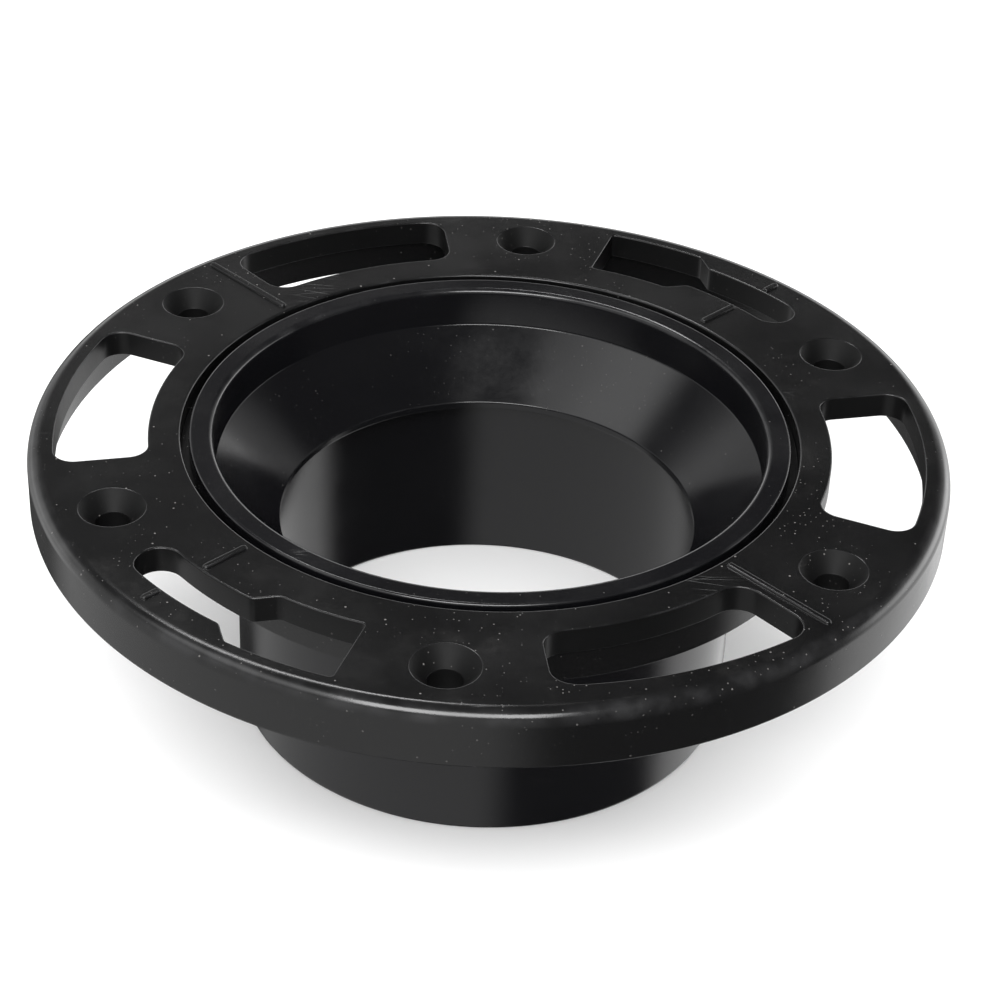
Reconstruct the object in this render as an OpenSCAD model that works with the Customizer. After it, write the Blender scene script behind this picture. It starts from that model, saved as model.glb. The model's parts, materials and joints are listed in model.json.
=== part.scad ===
// Two-piece closet flange. A hub is cemented over a 3 in drain pipe, and a slotted
// ring turns on it, so that the toilet's bolts can be lined up before the ring is screwed down.
// Millimetres. The origin is the centre of the hub's lower end, and +Z points up to the toilet.

/* [Hub] */
// Height from the hub's lower end to the flush top faces
total_h = 59.8; // [58:0.2:66]
// Inside diameter of the pipe socket
socket_d = 89.2; // [88.9:0.1:89.6]
// Depth of the pipe socket, from the lower end to the pipe stop
socket_depth = 38; // [34:0.5:38]
// Wall thickness of the socket
socket_wall = 4.8; // [4.4:0.1:5.6]
// Inside diameter at the pipe stop
throat_d = 82; // [78:0.5:84]
// Thickness of the pipe stop at its inner edge
stop_t = 1.6; // [1.2:0.1:2]
// Inside diameter of the bell mouth
mouth_d = 107; // [106:0.2:108]
// Depth of the straight part of the bell mouth
mouth_depth = 8.3; // [7:0.1:9]
// Outside diameter of the lip that holds the ring down
lip_d = 116.4; // [115.6:0.2:117]
// Thickness of that lip
lip_t = 3.2; // [2.6:0.1:3.6]
// Diameter of the neck that the ring turns on
neck_d = 112.6; // [112:0.2:113]

/* [Snap lugs] */
// Number of snap lugs under the ring's ledge
lug_count = 8; // [4:1:12]
// Angle that each lug spans
lug_deg = 14; // [8:1:20]
// Height of a lug
lug_h = 3.2; // [2.4:0.1:3.6]
// How far a lug stands out of the neck
lug_out = 1.5; // [1:0.1:1.8]

/* [Ring] */
// Outside diameter of the ring
ring_d = 177.8; // [174:0.2:180]
// Height of the ring's skirt and collar
ring_h = 11.5; // [10.5:0.1:12.5]
// Thickness of the ring's slotted plate
plate_t = 5.2; // [4.6:0.1:5.6]
// Radius of the outer top edge
edge_r = 3; // [2:0.2:4]
// Inside diameter of the skirt
skirt_in_d = 171.6; // [170.8:0.2:172.6]
// Outside diameter of the collar
collar_d = 131; // [130:0.2:131.2]
// Wall thickness of the collar
collar_t = 3; // [2.4:0.2:3.4]
// Diameter of the recess that the hub's lip sits in
recess_d = 119.6; // [119:0.2:121]
// Thickness of the ledge under the hub's lip
ledge_t = 3.2; // [2.6:0.1:3.4]
// Gap between the ring and the hub, on the neck and above and below the ledge
swivel_gap = 0.3; // [0.25:0.05:0.4]
// How far the ring is turned at rest: the direction of its first bolt line
ring_turn = 45.5; // [0:0.5:180]

/* [Slots and holes] */
// Diameter of the circle through the bolt slots and the screw holes
bolt_circle_d = 152.4; // [152:0.1:153]
// Width of the narrow part of a keyhole slot
key_w = 8.8; // [8.4:0.1:9]
// Diameter of a screw hole
screw_d = 6.4; // [5:0.1:6.8]
// Diameter of a countersink
sink_d = 12.6; // [11:0.1:13]
// Depth of a countersink
sink_depth = 3.3; // [2.6:0.1:3.6]
// Outside diameter of the boss under a screw hole
boss_d = 13.2; // [11:0.2:14]
// Thickness of the web that ties each boss to the skirt and the collar
web_t = 2.4; // [1.6:0.2:3]
// Height that the bolt-line marks stand up
mark_h = 0.5; // [0.3:0.1:0.6]
// Width of a bolt-line mark
mark_w = 1.3; // [1.2:0.1:1.6]

/* [Hidden] */
$fn = 180;
plastic = [0.06, 0.06, 0.065];

// Hub, from the lower end up
hub_r = socket_d / 2 + socket_wall;
stop_z = socket_depth;
cone_z0 = stop_z + stop_t;
cone_z1 = total_h - mouth_depth;
lip_z = total_h - lip_t;
ledge_top = lip_z - swivel_gap;
ledge_z = ledge_top - ledge_t;
lug_top = ledge_z - swivel_gap;
flare_z1 = lug_top - lug_h - 0.8;
flare_z0 = flare_z1 - (neck_d / 2 - hub_r);

// Ring, from the outside in
ring_z = total_h - ring_h;
plate_z = total_h - plate_t;
skirt_r = skirt_in_d / 2;
collar_r = collar_d / 2;
ledge_r = neck_d / 2 + swivel_gap;
bolt_r = bolt_circle_d / 2;
cut = 0.5; // how far a cutter runs past a face
arc_step = 2.5; // degrees between the points of a slot's long arcs
corner_steps = 6; // points on a rounded corner

// Plan of the ring, as angles from the first bolt line, with half of it repeated at 180 degrees
screw_deg = [for (i = [0:5]) -20 + 60 * i];
key_tip_deg = -8.4;
key_neck_deg = 10.1;
key_wide_deg = 12.9;
key_end_deg = 27.2;
key_wide_r = [68.2, 84];
key_corner = 1.6;
// The two arc slots: angles, radii, and how far the outer edge runs in towards the slot's start
arc_slots = [[[53.1, 86.9], [67.1, 84], 0], [[53.3, 88.1], [66.1, 84], 3.1]];
arc_corner = 4.6;
window_deg = [112.7, 147.5];
window_r = [66, 83.8];
window_corner = 4;
mark_r = [62, 84.5];

function polar(r, a) = [r * cos(a), r * sin(a)];

// Rounds off a convex corner of a profile: (x, y) is the corner, and (dx, dy) points out of it.
module corner_cut(x, y, dx, dy, r) {
    translate([x - dx * r, y - dy * r])
        scale([dx, dy])
            difference() {
                square(r + cut);
                circle(r, $fn = 48);
            }
}

// Points along an arc about c
function arc(c, r, a0, a1, n) = [for (i = [0:n]) c + polar(r, a0 + (a1 - a0) * i / n)];

function unit(v) = v / norm(v);

// Points that round the corner at b, on the way from a to c
function rounded(a, b, c, r) =
    let (
        u = unit(a - b),
        v = unit(c - b),
        half = acos(u * v) / 2,
        centre = b + unit(u + v) * r / sin(half),
        start = b + u * r / tan(half) - centre,
        side = u[0] * v[1] - u[1] * v[0] > 0 ? -1 : 1,
        a0 = atan2(start[1], start[0])
    )
    arc(centre, r, a0, a0 + side * (180 - 2 * half), corner_steps);

// Outline between two radii and two angles, with corners that run smoothly into its sides
function round_sector(r, deg, c) =
    let (
        r0 = r[0],
        r1 = r[1],
        a0 = deg[0],
        a1 = deg[1],
        in_turn = asin(c / (r0 + c)),
        out_turn = asin(c / (r1 - c)),
        n = ceil((a1 - a0) / arc_step)
    )
    concat(
        arc([0, 0], r1, a0 + out_turn, a1 - out_turn, n),
        arc(polar(r1 - c, a1 - out_turn), c, a1 - out_turn, a1 + 90, corner_steps),
        arc(polar(r0 + c, a1 - in_turn), c, a1 + 90, a1 - in_turn + 180, corner_steps),
        arc([0, 0], r0, a1 - in_turn, a0 + in_turn, n),
        arc(polar(r0 + c, a0 + in_turn), c, a0 + in_turn + 180, a0 + 270, corner_steps),
        arc(polar(r1 - c, a0 + out_turn), c, a0 - 90, a0 + out_turn, corner_steps)
    );

// Outline of an arc slot, which is narrower at its start
function arc_slot(slot) =
    let (deg = slot[0], r = slot[1], run_in = slot[2])
    [for (p = round_sector(r, deg, arc_corner))
        let (
            across = (norm(p) - r[0]) / (r[1] - r[0]),
            early = (deg[1] - atan2(p[1], p[0])) / (deg[1] - deg[0])
        )
        p - p * run_in * across * early / norm(p)
    ];

// Keyhole outline: the bolt's head drops through the wide end, and its shank slides into the narrow end.
function keyhole() =
    let (
        half = key_w / 2,
        in_r = bolt_r - half,
        out_r = bolt_r + half,
        tip_centre = key_tip_deg + asin(half / bolt_r),
        neck_in = polar(in_r, key_neck_deg),
        neck_out = polar(out_r, key_neck_deg),
        wide_in = polar(key_wide_r[0], key_wide_deg),
        wide_out = polar(key_wide_r[1], key_wide_deg),
        back = polar(1, key_neck_deg - 90),
        on = polar(1, key_wide_deg + 90),
        n = ceil((key_neck_deg - tip_centre) / arc_step),
        m = ceil((key_end_deg - key_wide_deg) / arc_step),
        lead = 2
    )
    concat(
        arc([0, 0], out_r, tip_centre, key_neck_deg - lead, n),
        rounded(neck_out + back, neck_out, wide_out, key_corner),
        rounded(neck_out, wide_out, wide_out + on, key_corner),
        arc([0, 0], key_wide_r[1], key_wide_deg + lead, key_end_deg, m),
        arc([0, 0], key_wide_r[0], key_end_deg, key_wide_deg + lead, m),
        rounded(wide_in + on, wide_in, neck_in, key_corner),
        rounded(wide_in, neck_in, neck_in + back, key_corner),
        arc([0, 0], in_r, key_neck_deg - lead, tip_centre, n),
        arc(polar(bolt_r, tip_centre), half, tip_centre + 180, tip_centre + 360, 2 * corner_steps)
    );

module slot_plan() {
    for (side = [0, 1])
        rotate(180 * side) {
            polygon(keyhole());
            polygon(arc_slot(arc_slots[side]));
            polygon(round_sector(window_r, window_deg, window_corner));
        }
}

module hub_profile() {
    difference() {
        polygon([
            [socket_d / 2, 0],
            [hub_r, 0],
            [hub_r, flare_z0],
            [neck_d / 2, flare_z1],
            [neck_d / 2, lip_z],
            [lip_d / 2, lip_z],
            [lip_d / 2, total_h],
            [mouth_d / 2, total_h],
            [mouth_d / 2, cone_z1],
            [throat_d / 2, cone_z0],
            [throat_d / 2, stop_z],
            [socket_d / 2, stop_z]
        ]);
        corner_cut(mouth_d / 2, total_h, -1, 1, 1.2);
        corner_cut(lip_d / 2, total_h, 1, 1, 0.6);
        corner_cut(lip_d / 2, lip_z, 1, -1, 0.4);
        corner_cut(hub_r, 0, 1, -1, 1);
        corner_cut(socket_d / 2, 0, -1, -1, 0.8);
    }
}

// Ramped below, so that the ring's ledge snaps over it from below, and flat on top to keep it there
module snap_lug() {
    root = neck_d / 2 - 1;
    tip = neck_d / 2 + lug_out;
    rotate([0, 0, -lug_deg / 2])
        rotate_extrude(angle = lug_deg)
            polygon([
                [root, lug_top],
                [tip, lug_top],
                [tip, lug_top - 0.8],
                [neck_d / 2, lug_top - lug_h],
                [root, lug_top - lug_h]
            ]);
}

module hub() {
    color(plastic) {
        rotate_extrude()
            hub_profile();
        for (i = [0:lug_count - 1])
            rotate([0, 0, i * 360 / lug_count])
                snap_lug();
    }
}

module ring_profile() {
    difference() {
        polygon([
            [ledge_r, ledge_z],
            [collar_r - collar_t, ledge_z],
            [collar_r - collar_t, ring_z],
            [collar_r, ring_z],
            [collar_r, plate_z],
            [skirt_r - 0.3, plate_z],
            [skirt_r, ring_z],
            [ring_d / 2, ring_z],
            [ring_d / 2, total_h],
            [recess_d / 2, total_h],
            [recess_d / 2, ledge_top],
            [ledge_r, ledge_top]
        ]);
        corner_cut(ring_d / 2, total_h, 1, 1, edge_r);
        corner_cut(ring_d / 2, ring_z, 1, -1, 0.5);
        corner_cut(recess_d / 2, total_h, -1, 1, 0.5);
    }
}

// A boss round each screw hole, with a web on each side of it
module boss(a) {
    rotate([0, 0, a]) {
        translate([bolt_r, 0, ring_z])
            cylinder(h = plate_z - ring_z + cut, d = boss_d);
        translate([collar_r - collar_t / 2, -web_t / 2, ring_z])
            cube([skirt_r + 1 - collar_r + collar_t / 2, web_t, plate_z - ring_z + cut]);
    }
}

module screw_hole(a) {
    rotate([0, 0, a])
        translate([bolt_r, 0, 0]) {
            translate([0, 0, ring_z - cut])
                cylinder(h = ring_h + 2 * cut, d = screw_d, $fn = 64);
            translate([0, 0, total_h - sink_depth])
                cylinder(h = sink_depth, d1 = screw_d, d2 = sink_d, $fn = 64);
            translate([0, 0, total_h])
                cylinder(h = cut, d = sink_d, $fn = 64);
        }
}

// A half-round bead with ball ends along a bolt line
module mark(a) {
    bead = mark_w / 2;
    rotate([0, 0, a])
        translate([0, 0, total_h + mark_h - bead]) {
            translate([mark_r[0], 0, 0])
                rotate([0, 90, 0])
                    cylinder(h = mark_r[1] - mark_r[0], r = bead, $fn = 32);
            for (r = mark_r)
                translate([r, 0, 0])
                    sphere(bead, $fn = 32);
        }
}

module swivel_ring() {
    color(plastic)
        rotate([0, 0, ring_turn])
            difference() {
                union() {
                    rotate_extrude()
                        ring_profile();
                    for (a = screw_deg)
                        boss(a);
                    for (a = [0, 90, 180, 270])
                        mark(a);
                }
                translate([0, 0, plate_z - cut])
                    linear_extrude(plate_t + mark_h + 2 * cut)
                        slot_plan();
                for (a = screw_deg)
                    screw_hole(a);
            }
}

hub();
swivel_ring();
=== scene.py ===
"""Looks of a two-piece closet flange in satin black ABS, on a pale studio floor.

The hub and the ring are modelled again, edge by edge, to the sizes of their CAD nodes, so that
every edge has the small radius of a moulding. Their sizes are in millimetres, with +Z up, and the
camera and the lights are in metres.
"""
import json
import math

import bmesh
import bpy
import numpy as np
from mathutils import Matrix, Vector
from mathutils.geometry import delaunay_2d_cdt

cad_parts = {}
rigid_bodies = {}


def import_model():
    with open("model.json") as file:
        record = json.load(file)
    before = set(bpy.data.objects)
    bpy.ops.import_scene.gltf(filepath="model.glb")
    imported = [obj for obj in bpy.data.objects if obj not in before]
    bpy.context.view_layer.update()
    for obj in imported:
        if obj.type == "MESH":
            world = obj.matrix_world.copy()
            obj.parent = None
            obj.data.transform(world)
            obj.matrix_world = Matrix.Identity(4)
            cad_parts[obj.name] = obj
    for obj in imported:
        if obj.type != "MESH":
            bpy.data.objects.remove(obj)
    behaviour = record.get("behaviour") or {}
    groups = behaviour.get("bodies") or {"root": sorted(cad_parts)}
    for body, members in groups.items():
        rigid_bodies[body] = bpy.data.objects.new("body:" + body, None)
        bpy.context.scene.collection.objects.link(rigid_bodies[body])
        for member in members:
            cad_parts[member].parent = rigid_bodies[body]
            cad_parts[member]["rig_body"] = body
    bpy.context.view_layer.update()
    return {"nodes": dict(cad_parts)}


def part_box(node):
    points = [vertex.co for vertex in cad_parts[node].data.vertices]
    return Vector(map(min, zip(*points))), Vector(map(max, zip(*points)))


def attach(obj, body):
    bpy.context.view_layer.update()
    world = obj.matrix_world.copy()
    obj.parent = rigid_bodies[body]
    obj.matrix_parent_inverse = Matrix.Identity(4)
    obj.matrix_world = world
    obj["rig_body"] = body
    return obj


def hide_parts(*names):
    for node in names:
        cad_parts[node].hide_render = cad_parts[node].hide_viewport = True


MM = 0.001

# Hub: the socket for the pipe, the stop and throat above it, the mouth with its lip, and the lugs
SOCKET_R = 44.6
SOCKET_DEPTH = 38.0
SOCKET_WALL = 4.8
THROAT_R = 41.0
STOP_T = 1.6
MOUTH_R = 53.5
MOUTH_DEPTH = 8.3
LIP_R = 58.2
LIP_T = 3.2
NECK_R = 56.3
LUG_COUNT = 8
LUG_DEG = 14.0
LUG_H = 3.2
LUG_LAND = 0.8
LUG_OUT = 1.5
LUG_STEP = 0.05

# Ring: its plate, skirt and collar, the recess for the hub's lip, and the turn that it rests at
RING_H = 11.5
PLATE_T = 5.2
EDGE_R = 3.0
SKIRT_IN_R = 85.7
COLLAR_R = 65.5
COLLAR_T = 3.0
RECESS_R = 59.8
LEDGE_T = 3.2
SWIVEL_GAP = 0.3
RING_TURN = 45.5

# Slots and holes, with angles from the ring's first bolt line
BOLT_R = 76.2
SCREW_PITCH = 60.0
SCREW_DEG = [-20.0 + SCREW_PITCH * i for i in range(6)]
SCREW_R = 3.2
SINK_R = 6.3
SINK_DEPTH = 3.3
BOSS_R = 6.6
WEB_T = 2.4
KEY_W = 8.8
KEY_TIP_DEG = -8.4
KEY_NECK_DEG = 10.1
KEY_WIDE_DEG = 12.9
KEY_END_DEG = 27.2
KEY_WIDE_R = (68.2, 84.0)
KEY_CORNERS = (1.6, 1.6, 0.7, 0.7, 1.6, 1.6)
# The two arc slots: angles, radii, and how far the outer edge runs in towards the slot's start
ARC_SLOTS = (((53.1, 86.9), (67.1, 84.0), 0.0), ((53.3, 88.1), (66.1, 84.0), 3.1))
ARC_CORNER = 4.6
WINDOW_DEG = (112.7, 147.5)
WINDOW_R = (66.0, 83.8)
WINDOW_CORNER = 4.0

# Raised bolt-line marks: the flare of the foot, the flat crown, and the gap to a slot's edge
MARK_R = (62.0, 84.5)
MARK_H = 0.5
MARK_W = 1.3
MARK_FOOT = 0.15
MARK_CROWN_W = 0.12
MARK_CLEAR = 0.2

# Radii of the ring's edges and inner corners
TOP_EDGE = 0.35
UNDER_EDGE = 0.15
FOOT_EDGE = 0.5
RECESS_EDGE = 0.5
BORE_EDGE = 0.3
RECESS_ROOT = 0.2
SINK_ROOT = 0.3
MARK_ROOT = 0.14
ROOT_FILLET = 0.25
WEB_FILLET = 0.8

# Fineness of the mesh. Profiles turn a corner in coarse steps below the fine radius
ROUND_STEPS = 360
HOLE_STEPS = 56
ARC_STEP_DEG = 1.0
CORNER_STEPS = 10
SHARP_TURN = math.radians(25)
COARSE_TURN = math.radians(22.5)
FINE_TURN = math.radians(7.5)
FINE_R = 1.0
# Points of an outline nearer than this, in millimetres, count as one, and those of a flat fill
NEAR = 0.02
FILL_NEAR = 1e-7
# A face is level where its unit normal rises higher than this
LEVEL = 0.9

# The two plastics: colour, lowest and highest roughness, height of the grain, and share of dust
HUB_ABS = ((0.0030, 0.0030, 0.0036, 1.0), 0.10, 0.19, 0.004 * MM, 0.35)
RING_ABS = ((0.0031, 0.0031, 0.0032, 1.0), 0.12, 0.21, 0.008 * MM, 1.0)
IOR = 1.53
SHINE = 0.5
# How many times paler the colour gets where the mottle is palest
PALER = 1.45
# Colour of outward edges: partly rubbed wear, partly a painted highlight along each small edge
RUBBED_AND_SHEEN_COLOR = (0.030, 0.030, 0.031, 1.0)
SCRATCH_COLOR = (0.08, 0.08, 0.08, 1.0)
DUST_COLOR = (0.12, 0.115, 0.11, 1.0)
# How matt the walls of a slot are, against 1 for the walls of a screw hole and 0 elsewhere
SLOT_MATTNESS = 0.4
HOLE_SHINE = 0.2
# Roughness that the walls of a screw hole, a speckle and a grain of dust add
HOLE_ROUGHNESS = 0.38
SPECKLE_ROUGHNESS = 0.06
DUST_ROUGHNESS = 0.3

# Scales of the plastic's noises and cells, per metre
MOTTLE_SCALE = 45.0
SPECKLE_SCALE = 900.0
RUB_SCALE = 160.0
DRIFT_SCALE = 30.0
SMUDGE_SCALE = 95.0
SCRATCH_PATCH_SCALE = 38.0
WAVE_SCALE = 22.0
GRAIN_SCALE = 2600.0
# Dust: cells per metre, and the largest radius of a speck as a share of a cell
SPECKS = (420.0, 0.085)
LINT = (1000.0, 0.15)
# How much lint shows beside the specks, and smudges at their strongest
LINT_SHARE = 0.8
SMUDGE_SHARE = 0.07
# Scratches: angle, cells per metre, and width as a share of a cell
SCRATCHES = ((0.7, 26.0, 0.010), (-0.5, 34.0, 0.008))
SCRATCH_STRETCH = 9.0
SCRATCH_SHARE = 0.25
SCRATCH_STRENGTH = 0.6
# Heights of the relief, in metres
WAVE_HEIGHT = 0.10 * MM
SCRATCH_DEPTH = 0.02 * MM

# Camera: it looks along +Y and down, and is rolled a little
CAMERA_PLACE = (0.0, -0.4245, 0.3301)
CAMERA_TILT = math.radians(55.91)
CAMERA_ROLL = math.radians(2.352)
CAMERA_LENS = 93.44
CAMERA_SENSOR = 36.0
CAMERA_SHIFT = (0.0122, -0.0010)

# Studio
FLOOR_RADIUS = 4.0
FLOOR_COLOR = (0.93, 0.93, 0.93, 1.0)
FLOOR_ROUGHNESS = 0.7
WHITE = (1.0, 1.0, 1.0, 1.0)
WORLD_LIGHT = 1.5
# Soft boxes: place, size, radiance, and whether dull surfaces such as the floor see them too
FRONT_BOX = ((-0.05, -0.46, 0.53), (0.44, 0.23), 10.0, True)
BACK_BOX = ((-0.20, 0.43, 0.80), (0.42, 0.10), 12.0, False)

# What shiny surfaces mirror besides: a dim room, with panels in it. A panel's angles are in degrees:
# azimuth and half-width, lowest and highest elevation, and softness of its edges. Then its radiance.
# Azimuth 0 is the camera's side and 90 the right.
MIRRORED_FILL = 0.045
PANELS = (
    (-60, 70, -70, 30, 10, 0.60),
    (-128, 26, -30, 4, 8, 0.45),
    (128, 34, -70, 8, 10, 1.15),
    (118, 25, -12, 12, 6, 1.7),
    (180, 72, -4, 25, 5, 0.50),
    (-152, 24, 22, 42, 6, 0.09),
    (180, 24, 2, 15, 5, 1.3),
    (-62, 36, 38, 60, 8, 1.7),
)


# ---- Outlines in plan: arrays of points that run anticlockwise ----

def polar(r, degrees):
    """The point at a radius and an angle."""
    turn = math.radians(degrees)
    return np.array((r * math.cos(turn), r * math.sin(turn)))


def arc(centre, r, start, end, steps):
    """Points along an arc about centre, from one angle to another in degrees."""
    turn = np.radians(np.linspace(start, end, steps + 1))
    return np.asarray(centre) + r * np.column_stack((np.cos(turn), np.sin(turn)))


def long_arc(r, start, end):
    """Points along an arc about the axis, at even steps."""
    return arc((0, 0), r, start, end, max(2, round(abs(end - start) / ARC_STEP_DEG)))


def circle(centre, r, steps):
    """Points round a circle."""
    return arc(centre, r, 0, 360, steps)[:-1]


def tidy(points):
    """Drops points that fall on the one before them."""
    points = np.asarray(points)
    step = np.linalg.norm(points - np.roll(points, 1, axis=0), axis=1)
    return points[step > NEAR]


def unit(v):
    return v / np.linalg.norm(v)


def soften(points, radii):
    """Rounds each sharp corner of an outline, with the radii taken in turn, and drops what it covers."""
    points = tidy(points)
    made, sharp, clear = [], 0, []
    for i, here in enumerate(points):
        back, ahead = unit(points[i - 1] - here), unit(points[(i + 1) % len(points)] - here)
        turn = math.pi - math.acos(np.clip(back @ ahead, -1, 1))
        if turn < SHARP_TURN:
            made.append([here])
            continue
        r = radii[sharp % len(radii)]
        sharp += 1
        reach = r * math.tan(turn / 2)
        centre = here + unit(back + ahead) * r / math.cos(turn / 2)
        first, last = here + back * reach - centre, here + ahead * reach - centre
        steps = max(3, math.ceil(turn / COARSE_TURN) * 2)
        share = np.linspace(0, 1, steps + 1)
        spread = [math.sin((1 - s) * turn) * first + math.sin(s * turn) * last for s in share]
        made.append([centre + v / math.sin(turn) for v in spread])
        clear.append((here, reach, i))
    kept = []
    for i, group in enumerate(made):
        covered = any(i != j and np.linalg.norm(points[i] - c) < reach for c, reach, j in clear)
        if len(group) > 1 or not covered:
            kept.extend(group)
    return tidy(kept)


def round_sector(r, degrees, corner):
    """Outline between two radii and two angles, with corners that run smoothly into its sides."""
    (r0, r1), (a0, a1) = r, degrees
    in_turn = math.degrees(math.asin(corner / (r0 + corner)))
    out_turn = math.degrees(math.asin(corner / (r1 - corner)))
    return tidy(np.concatenate((
        long_arc(r1, a0 + out_turn, a1 - out_turn),
        arc(polar(r1 - corner, a1 - out_turn), corner, a1 - out_turn, a1 + 90, CORNER_STEPS),
        arc(polar(r0 + corner, a1 - in_turn), corner, a1 + 90, a1 - in_turn + 180, CORNER_STEPS),
        long_arc(r0, a1 - in_turn, a0 + in_turn),
        arc(polar(r0 + corner, a0 + in_turn), corner, a0 + in_turn + 180, a0 + 270, CORNER_STEPS),
        arc(polar(r1 - corner, a0 + out_turn), corner, a0 - 90, a0 + out_turn, CORNER_STEPS),
    )))


def arc_slot(degrees, r, run_in):
    """Outline of an arc slot, whose outer edge runs in by that much towards its start."""
    points = round_sector(r, degrees, ARC_CORNER)
    reach = np.linalg.norm(points, axis=1)
    across = (reach - r[0]) / (r[1] - r[0])
    turn = np.degrees(np.arctan2(points[:, 1], points[:, 0]))
    early = (degrees[1] - turn) / (degrees[1] - degrees[0])
    return points * (1 - run_in * across * early / reach)[:, None]


def keyhole():
    """Outline of a slot whose wide end takes a bolt's head, and whose narrow end holds its shank."""
    half = KEY_W / 2
    tip = KEY_TIP_DEG + math.degrees(math.asin(half / BOLT_R))
    outline = np.concatenate((
        long_arc(BOLT_R + half, tip, KEY_NECK_DEG),
        long_arc(KEY_WIDE_R[1], KEY_WIDE_DEG, KEY_END_DEG),
        long_arc(KEY_WIDE_R[0], KEY_END_DEG, KEY_WIDE_DEG),
        long_arc(BOLT_R - half, KEY_NECK_DEG, tip),
        arc(polar(BOLT_R, tip), half, tip + 180, tip + 360, 2 * CORNER_STEPS),
    ))
    return soften(outline, KEY_CORNERS)


def pocket(a0, a1):
    """Outline of the hollow under the plate, between the webs and bosses of two screw holes."""
    half = WEB_T / 2
    side = math.degrees(math.asin(half / BOSS_R))
    skirt = math.degrees(math.asin(half / SKIRT_IN_R))
    collar = math.degrees(math.asin(half / COLLAR_R))
    outline = np.concatenate((
        long_arc(SKIRT_IN_R, a0 + skirt, a1 - skirt),
        arc(polar(BOLT_R, a1), BOSS_R, a1 - side, a1 - 180 + side, 2 * CORNER_STEPS),
        long_arc(COLLAR_R, a1 - collar, a0 + collar),
        arc(polar(BOLT_R, a0), BOSS_R, a0 + 180 - side, a0 + side, 2 * CORNER_STEPS),
    ))
    return soften(outline, (WEB_FILLET,))


def stadium(r0, r1, degrees, half_width):
    """Outline of a bead that lies along a radius."""
    return np.concatenate((
        arc(polar(r1, degrees), half_width, degrees - 90, degrees + 90, CORNER_STEPS),
        arc(polar(r0, degrees), half_width, degrees + 90, degrees + 270, CORNER_STEPS),
    ))


def turned(points, degrees):
    """Turns points about the axis."""
    turn = math.radians(degrees)
    spin = np.array(((math.cos(turn), math.sin(turn)), (-math.sin(turn), math.cos(turn))))
    return points @ spin


# ---- Profiles: (offset, height) points, with the open side on the right of the way they run ----

def rounded_path(points, radii, closed=False):
    """Rows of offset, height, normal and wear-and-sheen share along a profile whose corners have those
    radii.

    The wear-and-sheen share is 1 in the middle of an outward corner and 0 on flat stretches and in inward
    corners. It marks where an edge is drawn paler, partly as rubbed wear and partly as a painted
    highlight.
    """
    points = [np.array(p, float) for p in points]
    count = len(points)
    rows = []
    for i, here in enumerate(points):
        back, ahead = points[i - 1], points[(i + 1) % count]
        if not closed and i in (0, count - 1):
            way = unit(ahead - here) if i == 0 else unit(here - back)
            rows.append((*here, way[1], -way[0], 0.0))
            continue
        came, goes = unit(here - back), unit(ahead - here)
        bend = math.atan2(came[0] * goes[1] - came[1] * goes[0], came @ goes)
        r, side = radii[i], math.copysign(1.0, bend)
        start = here - came * r * math.tan(abs(bend) / 2)
        heading = math.atan2(came[1], came[0])
        centre = start + side * r * np.array((-math.sin(heading), math.cos(heading)))
        steps = max(3, math.ceil(abs(bend) / (COARSE_TURN if r < FINE_R else FINE_TURN)))
        for k in range(steps + 1):
            now = heading + bend * k / steps
            place = centre - side * r * np.array((-math.sin(now), math.cos(now)))
            # Outward corners get the share that paints them paler, partly as wear and partly as a painted
            # highlight
            wear = math.sin(math.pi * k / steps) if side > 0 else 0.0
            rows.append((*place, math.sin(now), -math.cos(now), wear))
    kept = []
    for row in rows:
        if not kept or math.dist(row[:2], kept[-1][:2]) > NEAR / 4:
            kept.append(row)
    return kept


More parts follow.
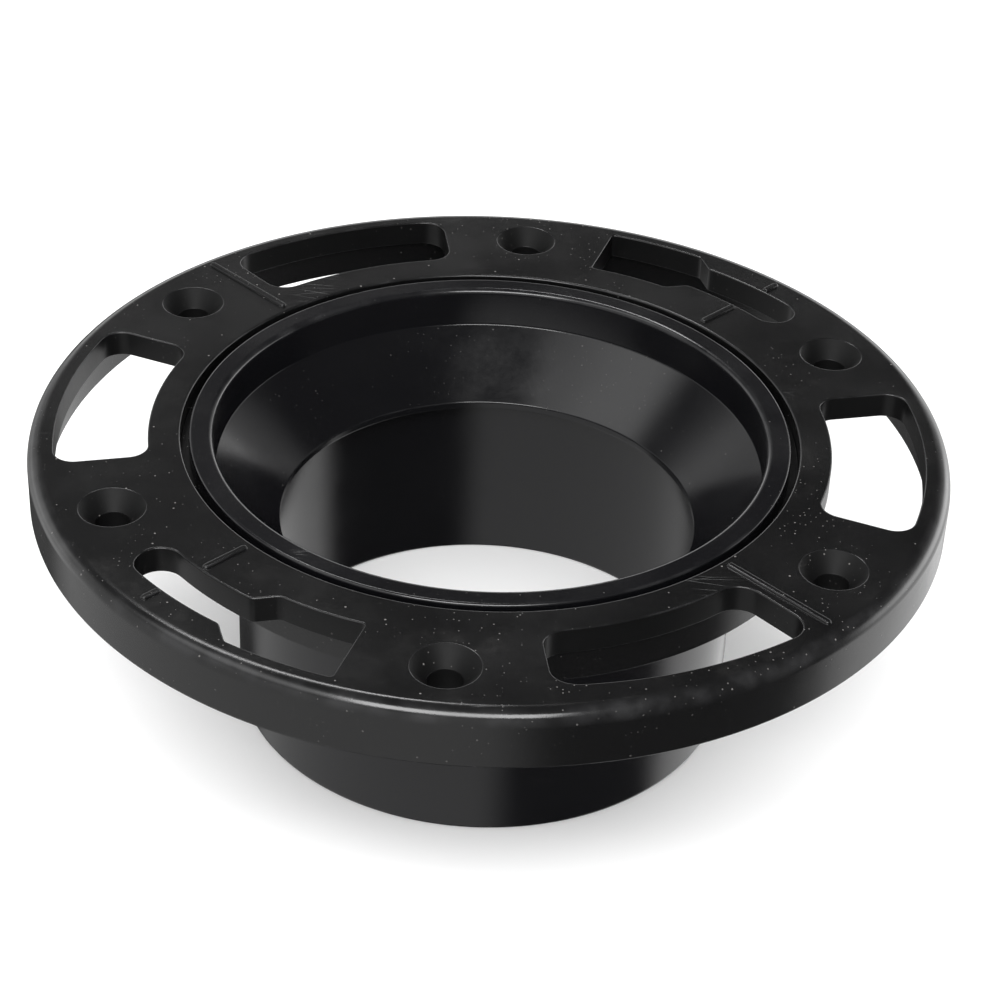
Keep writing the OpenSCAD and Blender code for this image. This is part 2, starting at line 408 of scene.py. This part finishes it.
class Shell:
    """Gathers the points of one closed moulding, their normals, wear-and-sheen share and mattness, and
    its faces.
    """

    def __init__(self):
        self.points, self.normals, self.wear, self.hole, self.faces = [], [], [], [], []

    def sweep(self, outline, path, closed=False, hole=0.0):
        """Runs a profile round an outline, and returns the first and the last loop of points.

        hole is how matt the profile's upright rows are, as the walls of a slot or a screw hole.
        """
        side = np.roll(outline, -1, axis=0) - outline
        edge = np.column_stack((side[:, 1], -side[:, 0])) / np.linalg.norm(side, axis=1)[:, None]
        normal = edge + np.roll(edge, 1, axis=0)
        normal /= np.linalg.norm(normal, axis=1)[:, None]
        mitre = 1 / np.sum(normal * edge, axis=1)[:, None]
        loops = []
        for offset, height, across, up, wear in path:
            start = len(self.points)
            place = outline + normal * mitre * offset
            self.points.extend((x, y, height) for x, y in place)
            self.normals.extend((x * across, y * across, up) for x, y in normal)
            self.wear.extend([wear] * len(outline))
            self.hole.extend([hole if abs(up) < LEVEL else 0.0] * len(outline))
            loops.append(list(range(start, len(self.points))))
        pairs = list(zip(loops, loops[1:]))
        if closed:
            pairs.append((loops[-1], loops[0]))
        for low, high in pairs:
            for i in range(len(low)):
                self.faces.append((low[i - 1], low[i], high[i], high[i - 1]))
        return loops[0], loops[-1]

    def turn(self, rows, base_r, closed=False):
        """Turns a profile of radius and height about the axis, as a sweep round a base circle."""
        base = circle((0, 0), base_r, ROUND_STEPS)
        return self.sweep(base, [(r - base_r, *rest) for r, *rest in rows], closed)

    def sheet(self, outer, holes):
        """Fills a flat face between an outer loop and the loops of its holes."""
        loops = [outer, *holes]
        index = [i for loop in loops for i in loop]
        flat = [Vector(self.points[i][:2]) for i in index]
        rings, start = [], 0
        for loop in loops:
            rings.append(list(range(start, start + len(loop))))
            start += len(loop)
        made = delaunay_2d_cdt(flat, [], rings, 0, FILL_NEAR, True)
        _, _, triangles, came_from, _, covers = made
        for triangle, cover in zip(triangles, covers):
            if cover == [0]:
                self.faces.append(tuple(index[came_from[i][0]] for i in triangle))

    def cap(self, loop):
        """Closes a small flat loop with one face."""
        self.faces.append(tuple(loop))

    def build(self, name, degrees=0.0):
        """Makes the object in metres, turned about Z, with its own exact normals."""
        spin = Matrix.Rotation(math.radians(degrees), 3, "Z")
        mesh = bpy.data.meshes.new(name)
        mesh.from_pydata([spin @ Vector(p) * MM for p in self.points], [], self.faces)
        shape = bmesh.new()
        shape.from_mesh(mesh)
        bmesh.ops.recalc_face_normals(shape, faces=shape.faces)
        shape.to_mesh(mesh)
        shape.free()
        mesh.shade_smooth()
        # Stored per point: the share that paints outward edges paler as wear and as a painted highlight,
        # and mattness
        for kind, values in (("wear", self.wear), ("hole", self.hole)):
            mesh.attributes.new(kind, "FLOAT", "POINT").data.foreach_set("value", values)
        own = [v.normal.copy() for v in mesh.vertices]
        normals = [own[i] if n is None else spin @ Vector(n) for i, n in enumerate(self.normals)]
        mesh.normals_split_custom_set_from_vertices(normals)
        made = bpy.data.objects.new(name, mesh)
        bpy.context.scene.collection.objects.link(made)
        return made


# ---- The two mouldings ----

def hub_shell(total_h):
    """The bell mouth, neck, flare and socket, turned in one piece, with snap lugs round the neck."""
    hub_r = SOCKET_R + SOCKET_WALL
    cone_z0, cone_z1 = SOCKET_DEPTH + STOP_T, total_h - MOUTH_DEPTH
    lip_z = total_h - LIP_T
    lug_top = lip_z - LEDGE_T - 2 * SWIVEL_GAP
    flare_z1 = lug_top - LUG_H - LUG_LAND
    flare_z0 = flare_z1 - (NECK_R - hub_r)
    # Each corner of the profile, with its radius
    corners = (
        ((SOCKET_R, 0), 0.8),
        ((hub_r, 0), 1.0),
        ((hub_r, flare_z0), 2.0),
        ((NECK_R, flare_z1), 1.0),
        ((NECK_R, lip_z), 0.3),
        ((LIP_R, lip_z), 0.4),
        ((LIP_R, total_h), 0.6),
        ((MOUTH_R, total_h), 1.2),
        ((MOUTH_R, cone_z1), 0.6),
        ((THROAT_R, cone_z0), 0.5),
        ((THROAT_R, SOCKET_DEPTH), 0.4),
        ((SOCKET_R, SOCKET_DEPTH), 0.4),
    )
    rows = rounded_path([c for c, _ in corners], [r for _, r in corners], closed=True)
    # Heights up a lug, from its foot to just over its top, and how far out its face is at each
    lug_rows = (
        (lug_top - LUG_H, 0.0),
        (lug_top - LUG_LAND, LUG_OUT),
        (lug_top, LUG_OUT),
        (lug_top + LUG_STEP, 0.0),
    )
    on_neck = [i for i, row in enumerate(rows) if abs(row[0] - NECK_R) < NEAR]
    first_lug = 1 + max(i for i in on_neck if rows[i][1] < lug_top - LUG_H)
    rows[first_lug:first_lug] = [(NECK_R, z, 1.0, 0.0, 0.0) for z, _ in lug_rows]
    shell = Shell()
    shell.turn(rows, 1.0, closed=True)
    for row, (_, out) in enumerate(lug_rows, first_lug):
        push_lugs_out(shell, row, out)
    return shell


def push_lugs_out(shell, row, out):
    """Moves a row of the neck's points out over the width of each lug."""
    step, pitch = 360 / ROUND_STEPS, 360 / LUG_COUNT
    for i in range(ROUND_STEPS):
        away = abs((i * step + pitch / 2) % pitch - pitch / 2)
        place = row * ROUND_STEPS + i
        if away < LUG_DEG / 2 + step:
            shell.normals[place] = None
        if away < LUG_DEG / 2:
            x, y, z = shell.points[place]
            wider = 1 + out / NECK_R
            shell.points[place] = (x * wider, y * wider, z)


def ring_shell(total_h):
    """The slotted plate, its skirt, collar, ledge, bosses and webs, and the raised bolt-line marks."""
    ring_z, plate_z = total_h - RING_H, total_h - PLATE_T
    ledge_top = total_h - LIP_T - SWIVEL_GAP
    ledge_z = ledge_top - LEDGE_T
    ledge_r = NECK_R + SWIVEL_GAP
    ring_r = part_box("swivel_ring")[1].x / MM
    collar_in = COLLAR_R - COLLAR_T
    shell = Shell()

    rim_path = rounded_path(
        [(ring_r - FOOT_EDGE, ring_z), (ring_r, ring_z), (ring_r, total_h), (ring_r - EDGE_R, total_h)],
        (0, FOOT_EDGE, EDGE_R, 0))
    bottom_rim, top_rim = shell.turn(rim_path, ring_r)
    bore_path = rounded_path(
        [(RECESS_R + RECESS_EDGE, total_h), (RECESS_R, total_h), (RECESS_R, ledge_top),
         (ledge_r, ledge_top), (ledge_r, ledge_z), (collar_in, ledge_z), (collar_in, ring_z),
         (collar_in + BORE_EDGE, ring_z)],
        (0, RECESS_EDGE, RECESS_ROOT, BORE_EDGE, BORE_EDGE, BORE_EDGE, BORE_EDGE, 0))
    top_bore, bottom_bore = shell.turn(bore_path, ring_r)

    slots = slot_walls(shell, total_h, plate_z)
    screws = screw_walls(shell, total_h, ring_z)
    marks = raised_marks(shell, total_h)

    pocket_path = rounded_path(
        [(-ROOT_FILLET, plate_z), (0, plate_z), (0, ring_z), (UNDER_EDGE, ring_z)],
        (0, ROOT_FILLET, UNDER_EDGE, 0))
    pockets = []
    for a, (_, slot_foot) in zip(SCREW_DEG, slots):
        ceiling, mouth = shell.sweep(pocket(a, a + SCREW_PITCH), pocket_path)
        shell.sheet(ceiling, [slot_foot])
        pockets.append(mouth)

    shell.sheet(top_rim, [top_bore] + [top for top, _ in slots] + [top for top, _ in screws] + marks)
    shell.sheet(bottom_rim, [bottom_bore] + [foot for _, foot in screws] + pockets)
    return shell


def slot_walls(shell, top_z, plate_z):
    """The walls of the keyhole, the arc slot and the window on each side. Returns their end loops."""
    path = rounded_path(
        [(TOP_EDGE, top_z), (0, top_z), (0, plate_z), (UNDER_EDGE, plate_z)],
        (0, TOP_EDGE, UNDER_EDGE, 0))
    window = round_sector(WINDOW_R, WINDOW_DEG, WINDOW_CORNER)
    loops = []
    for turn, slot in zip((0, 180), ARC_SLOTS):
        for outline in (keyhole(), arc_slot(*slot), window):
            loops.append(shell.sweep(turned(outline, turn), path, hole=SLOT_MATTNESS))
    return loops


def screw_walls(shell, top_z, foot_z):
    """The walls of the countersunk screw holes. Returns their end loops."""
    sink = SINK_R - SCREW_R
    path = rounded_path(
        [(sink + TOP_EDGE, top_z), (sink, top_z), (0, top_z - SINK_DEPTH), (0, foot_z),
         (UNDER_EDGE, foot_z)],
        (0, TOP_EDGE, SINK_ROOT, UNDER_EDGE, 0))
    holes = [circle(polar(BOLT_R, a), SCREW_R, HOLE_STEPS) for a in SCREW_DEG]
    return [shell.sweep(hole, path, hole=1.0) for hole in holes]


def raised_marks(shell, top_z):
    """The beads along the bolt lines, which the keyholes interrupt. Returns the loops of their feet."""
    bead = MARK_W / 2
    crown_z = top_z + MARK_H
    path = rounded_path(
        [(MARK_FOOT, top_z), (0, top_z), (0, crown_z), (MARK_CROWN_W / 2 - bead, crown_z)],
        (0, MARK_ROOT, MARK_H - MARK_FOOT, 0))
    clear = TOP_EDGE + MARK_CLEAR + bead
    inner = (MARK_R[0], BOLT_R - KEY_W / 2 - clear)
    outer = (BOLT_R + KEY_W / 2 + clear, MARK_R[1])
    beads = []
    for side in (0, 180):
        beads += [(side, inner), (side, outer), (side + 90, MARK_R)]
    feet = []
    for line, (r0, r1) in beads:
        foot, crown = shell.sweep(tidy(stadium(r0, r1, line, bead)), path)
        shell.cap(crown)
        feet.append(foot)
    return feet


def stand_in(shell, name, node, degrees=0.0):
    """Builds a moulding, which rides with its CAD node's body and is shown instead of it."""
    made = shell.build(name, degrees)
    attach(made, frame["nodes"][node]["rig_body"])
    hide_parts(node)
    return made


# ---- Materials ----

def empty_material(name):
    """A material and its node tree, cleared."""
    material = bpy.data.materials.new(name)
    material.use_nodes = True
    material.node_tree.nodes.clear()
    return material, material.node_tree


def add(tree, kind, inputs=None, **settings):
    """Adds a shader node. An input goes by its name or number, and takes a value or another's output."""
    node = tree.nodes.new(kind)
    for name, value in settings.items():
        setattr(node, name, value)
    for key, value in (inputs or {}).items():
        if isinstance(value, bpy.types.NodeSocket):
            tree.links.new(value, node.inputs[key])
        else:
            node.inputs[key].default_value = value
    return node


def ramp(tree, value, low, high, to_low=0.0, to_high=1.0):
    """Smoothly maps value from low..high to to_low..to_high."""
    inputs = {0: value, 1: low, 2: high, 3: to_low, 4: to_high}
    return add(tree, "ShaderNodeMapRange", inputs, interpolation_type="SMOOTHSTEP").outputs[0]


def calc(tree, operation, a, b=0.0):
    """One step of arithmetic between values or sockets."""
    return add(tree, "ShaderNodeMath", {0: a, 1: b}, operation=operation).outputs[0]


def times(tree, a, b):
    """The product of two values or sockets."""
    return calc(tree, "MULTIPLY", a, b)


def attribute(tree, name):
    """What the mesh stores at each of its points under that name."""
    return add(tree, "ShaderNodeAttribute", attribute_name=name).outputs["Fac"]


def noise(tree, where, scale, detail=3.0, roughness=0.5):
    """A noise from 0 to 1."""
    inputs = {"Vector": where, "Scale": scale, "Detail": detail, "Roughness": roughness}
    return add(tree, "ShaderNodeTexNoise", inputs).outputs["Fac"]


def blend_color(tree, share, first, second, blend="MIX"):
    """Mixes two colours. The shader node numbers its colour inputs 6 and 7, and their output 2."""
    inputs = {0: share, 6: first, 7: second}
    return add(tree, "ShaderNodeMix", inputs, data_type="RGBA", blend_type=blend).outputs[2]


def bump(tree, height, distance, normal=None, strength=1.0, invert=False):
    """Tilts a normal, or else the surface's own, by a height that spans that distance."""
    inputs = {"Height": height, "Distance": distance, "Strength": strength}
    if normal is not None:
        inputs["Normal"] = normal
    return add(tree, "ShaderNodeBump", inputs, invert=invert).outputs[0]


def dust(tree, where, up, cells, size):
    """Pale specks, most of them on faces that look up: one in each cell, of a size drawn per cell."""
    cell = add(tree, "ShaderNodeTexVoronoi", {"Vector": where, "Scale": cells}, voronoi_dimensions="3D")
    drawn = add(tree, "ShaderNodeSeparateColor", {0: cell.outputs["Color"]}).outputs[0]
    radius = ramp(tree, drawn, 0.15, 1.0, 0.0, size)
    inside = calc(tree, "LESS_THAN", cell.outputs["Distance"], radius)
    settled = ramp(tree, up, -0.2, 0.9, 0.25, 1.0)
    return times(tree, inside, settled)


def dust_cover(tree, where, up, amount):
    """All the dust: specks, finer lint that gathers in drifts, and smudges on level faces."""
    drifts = ramp(tree, noise(tree, where, DRIFT_SCALE, roughness=0.6), 0.44, 0.64, 0.08, 1.0)
    specks = times(tree, dust(tree, where, up, *SPECKS), amount)
    lint = times(tree, dust(tree, where, up, *LINT), LINT_SHARE * amount)
    lint = times(tree, lint, drifts)
    clouds = noise(tree, where, SMUDGE_SCALE, detail=5.0, roughness=0.7)
    smudges = ramp(tree, clouds, 0.52, 0.75, 0.0, SMUDGE_SHARE)
    level = ramp(tree, up, 0.97, 0.995, 0.0, amount)
    smudges = times(tree, smudges, times(tree, drifts, level))
    return calc(tree, "MAXIMUM", calc(tree, "MAXIMUM", specks, lint), smudges)


def scratches(tree, where, up, angle, cells, width):
    """Fine, faint scratches: thin lines between long, narrow cells, broken up by a noise."""
    layout = {"Vector": where, "Rotation": (0.0, 0.0, angle), "Scale": (1.0, SCRATCH_STRETCH, 1.0)}
    streaks = add(tree, "ShaderNodeMapping", layout).outputs[0]
    cell = add(tree, "ShaderNodeTexVoronoi", {"Vector": streaks, "Scale": cells},
               voronoi_dimensions="2D", feature="DISTANCE_TO_EDGE")
    line = ramp(tree, cell.outputs["Distance"], 0.0, width, 1.0, 0.0)
    patch = ramp(tree, noise(tree, where, SCRATCH_PATCH_SCALE), 0.60, 0.70)
    return times(tree, times(tree, line, patch), ramp(tree, up, 0.9, 0.99))


def moulded_abs(name, base, smooth, rough, grain, dust_amount):
    """Satin black ABS: mottled gloss, moulding grain, slow waviness, rubbed edges with a painted
    highlight, dust and scratches.
    """
    material, tree = empty_material(name)
    where = add(tree, "ShaderNodeTexCoord").outputs["Object"]
    normal = add(tree, "ShaderNodeNewGeometry").outputs["Normal"]
    up = add(tree, "ShaderNodeSeparateXYZ", {0: normal}).outputs[2]
    wear = attribute(tree, "wear")
    hole = times(tree, attribute(tree, "hole"), calc(tree, "SUBTRACT", 1.0, wear))

    mottle = noise(tree, where, MOTTLE_SCALE, detail=4.0, roughness=0.6)
    speckle = noise(tree, where, SPECKLE_SCALE, detail=2.0, roughness=0.6)
    # Outward edges drawn paler: partly rubbed wear, partly a painted highlight along each edge
    rubbed_and_sheen = times(tree, wear, ramp(tree, noise(tree, where, RUB_SCALE), 0.35, 0.75, 0.1, 0.6))
    all_dust = dust_cover(tree, where, up, dust_amount)
    marks = calc(tree, "MAXIMUM", *(scratches(tree, where, up, *kind) for kind in SCRATCHES))

    paler = [c * PALER for c in base[:3]] + [1.0]
    color = blend_color(tree, mottle, base, paler)
    color = blend_color(tree, rubbed_and_sheen, color, RUBBED_AND_SHEEN_COLOR)
    color = blend_color(tree, times(tree, marks, SCRATCH_SHARE), color, SCRATCH_COLOR)
    color = blend_color(tree, all_dust, color, DUST_COLOR)

    gloss = ramp(tree, mottle, 0.3, 0.7, smooth, rough)
    layers = ((speckle, SPECKLE_ROUGHNESS), (all_dust, DUST_ROUGHNESS), (hole, HOLE_ROUGHNESS))
    for layer, added in layers:
        gloss = calc(tree, "ADD", gloss, times(tree, layer, added))
    shine = ramp(tree, hole, 0.0, 0.5, SHINE, HOLE_SHINE)

    waves = bump(tree, noise(tree, where, WAVE_SCALE, detail=1.0), WAVE_HEIGHT)
    sand = bump(tree, noise(tree, where, GRAIN_SCALE, detail=2.0, roughness=0.6), grain, waves)
    cuts = bump(tree, marks, SCRATCH_DEPTH, sand, SCRATCH_STRENGTH, invert=True)
    surface = {"Base Color": color, "Roughness": gloss, "Specular IOR Level": shine, "IOR": IOR,
               "Normal": cuts}
    shader = add(tree, "ShaderNodeBsdfPrincipled", surface)
    add(tree, "ShaderNodeOutputMaterial", {"Surface": shader.outputs[0]})
    return material


# ---- Studio ----

def studio_floor():
    """A wide pale floor with a faint mottle, which shiny surfaces do not mirror."""
    mesh = bpy.data.meshes.new("studio_floor")
    r = FLOOR_RADIUS
    mesh.from_pydata([(-r, -r, 0.0), (r, -r, 0.0), (r, r, 0.0), (-r, r, 0.0)], [], [(0, 1, 2, 3)])
    floor = bpy.data.objects.new("studio_floor", mesh)
    bpy.context.scene.collection.objects.link(floor)
    material, tree = empty_material("studio_floor")
    where = add(tree, "ShaderNodeTexCoord").outputs["Object"]
    tone = ramp(tree, noise(tree, where, 3.0), 0.2, 0.8, 0.97, 1.0)
    color = blend_color(tree, 1.0, FLOOR_COLOR, tone, "MULTIPLY")
    shader = add(tree, "ShaderNodeBsdfPrincipled", {"Base Color": color, "Roughness": FLOOR_ROUGHNESS})
    add(tree, "ShaderNodeOutputMaterial", {"Surface": shader.outputs[0]})
    mesh.materials.append(material)
    floor.visible_glossy = False


def soft_box(name, place, size, radiance, lights_dull):
    """A rectangular light that faces the origin, and that the camera does not see."""
    data = bpy.data.lights.new(name, "AREA")
    data.shape = "RECTANGLE"
    data.size, data.size_y = size
    data.energy = radiance * math.pi * data.size * data.size_y
    light = bpy.data.objects.new(name, data)
    facing = Vector(place).to_track_quat("Z", "Y").to_matrix().to_4x4()
    light.matrix_world = Matrix.Translation(place) @ facing
    light.visible_camera = False
    light.visible_diffuse = lights_dull
    bpy.context.scene.collection.objects.link(light)


def panel(tree, way, height, azimuth, half_width, low, high, soft, strength):
    """Light from a panel that spans those angles in degrees, for a ray that goes that way."""
    turn = math.radians(azimuth)
    ahead, aside = (
        add(tree, "ShaderNodeVectorMath", {0: way, 1: line}, operation="DOT_PRODUCT").outputs["Value"]
        for line in ((math.sin(turn), -math.cos(turn), 0), (math.cos(turn), math.sin(turn), 0)))
    away = calc(tree, "ABSOLUTE", calc(tree, "ARCTAN2", aside, ahead))
    half, blur = math.radians(half_width), math.radians(soft)
    across = ramp(tree, away, half - blur, half + blur, 1.0, 0.0)
    rise = [math.sin(math.radians(e)) for e in (low - soft, low + soft, high - soft, high + soft)]
    above = ramp(tree, height, rise[0], rise[1])
    below = ramp(tree, height, rise[2], rise[3], 1.0, 0.0)
    inside = times(tree, times(tree, above, below), across)
    return times(tree, inside, strength)


def studio_world():
    """Even pale light all round; shiny surfaces mirror a dimmer room with soft pale panels in it."""
    world = bpy.data.worlds.new("studio")
    world.use_nodes = True
    # Rays find the world by chance alone, since sampling it as a lamp would mix the two lights
    world.cycles.sampling_method = "NONE"
    tree = world.node_tree
    tree.nodes.clear()
    way = add(tree, "ShaderNodeTexCoord").outputs["Generated"]
    height = add(tree, "ShaderNodeSeparateXYZ", {0: way}).outputs[2]
    room = MIRRORED_FILL
    for row in PANELS:
        room = calc(tree, "ADD", room, panel(tree, way, height, *row))
    glossy = add(tree, "ShaderNodeLightPath").outputs["Is Glossy Ray"]
    even, mirrored = (
        add(tree, "ShaderNodeBackground", {"Color": WHITE, "Strength": strength}).outputs[0]
        for strength in (WORLD_LIGHT, room))
    mixed = add(tree, "ShaderNodeMixShader", {0: glossy, 1: even, 2: mirrored})
    add(tree, "ShaderNodeOutputWorld", {"Surface": mixed.outputs[0]})
    bpy.context.scene.world = world


def camera():
    """The camera that the scene is seen through."""
    data = bpy.data.cameras.new("camera")
    data.lens = CAMERA_LENS
    data.sensor_width = CAMERA_SENSOR
    data.shift_x, data.shift_y = CAMERA_SHIFT
    data.clip_start = 0.01
    made = bpy.data.objects.new("camera", data)
    turn = Matrix.Rotation(CAMERA_TILT, 4, "X") @ Matrix.Rotation(CAMERA_ROLL, 4, "Z")
    made.matrix_world = Matrix.Translation(CAMERA_PLACE) @ turn
    bpy.context.scene.collection.objects.link(made)
    bpy.context.scene.camera = made


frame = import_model()
camera()

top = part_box("hub")[1].z / MM
hub = stand_in(hub_shell(top), "flange_hub", "hub")
ring = stand_in(ring_shell(top), "flange_ring", "swivel_ring", RING_TURN)
hub.data.materials.append(moulded_abs("hub_abs", *HUB_ABS))
ring.data.materials.append(moulded_abs("ring_abs", *RING_ABS))

studio_floor()
studio_world()
soft_box("front_box", *FRONT_BOX)
soft_box("back_box", *BACK_BOX)
bpy.context.scene.view_settings.view_transform = "Standard"
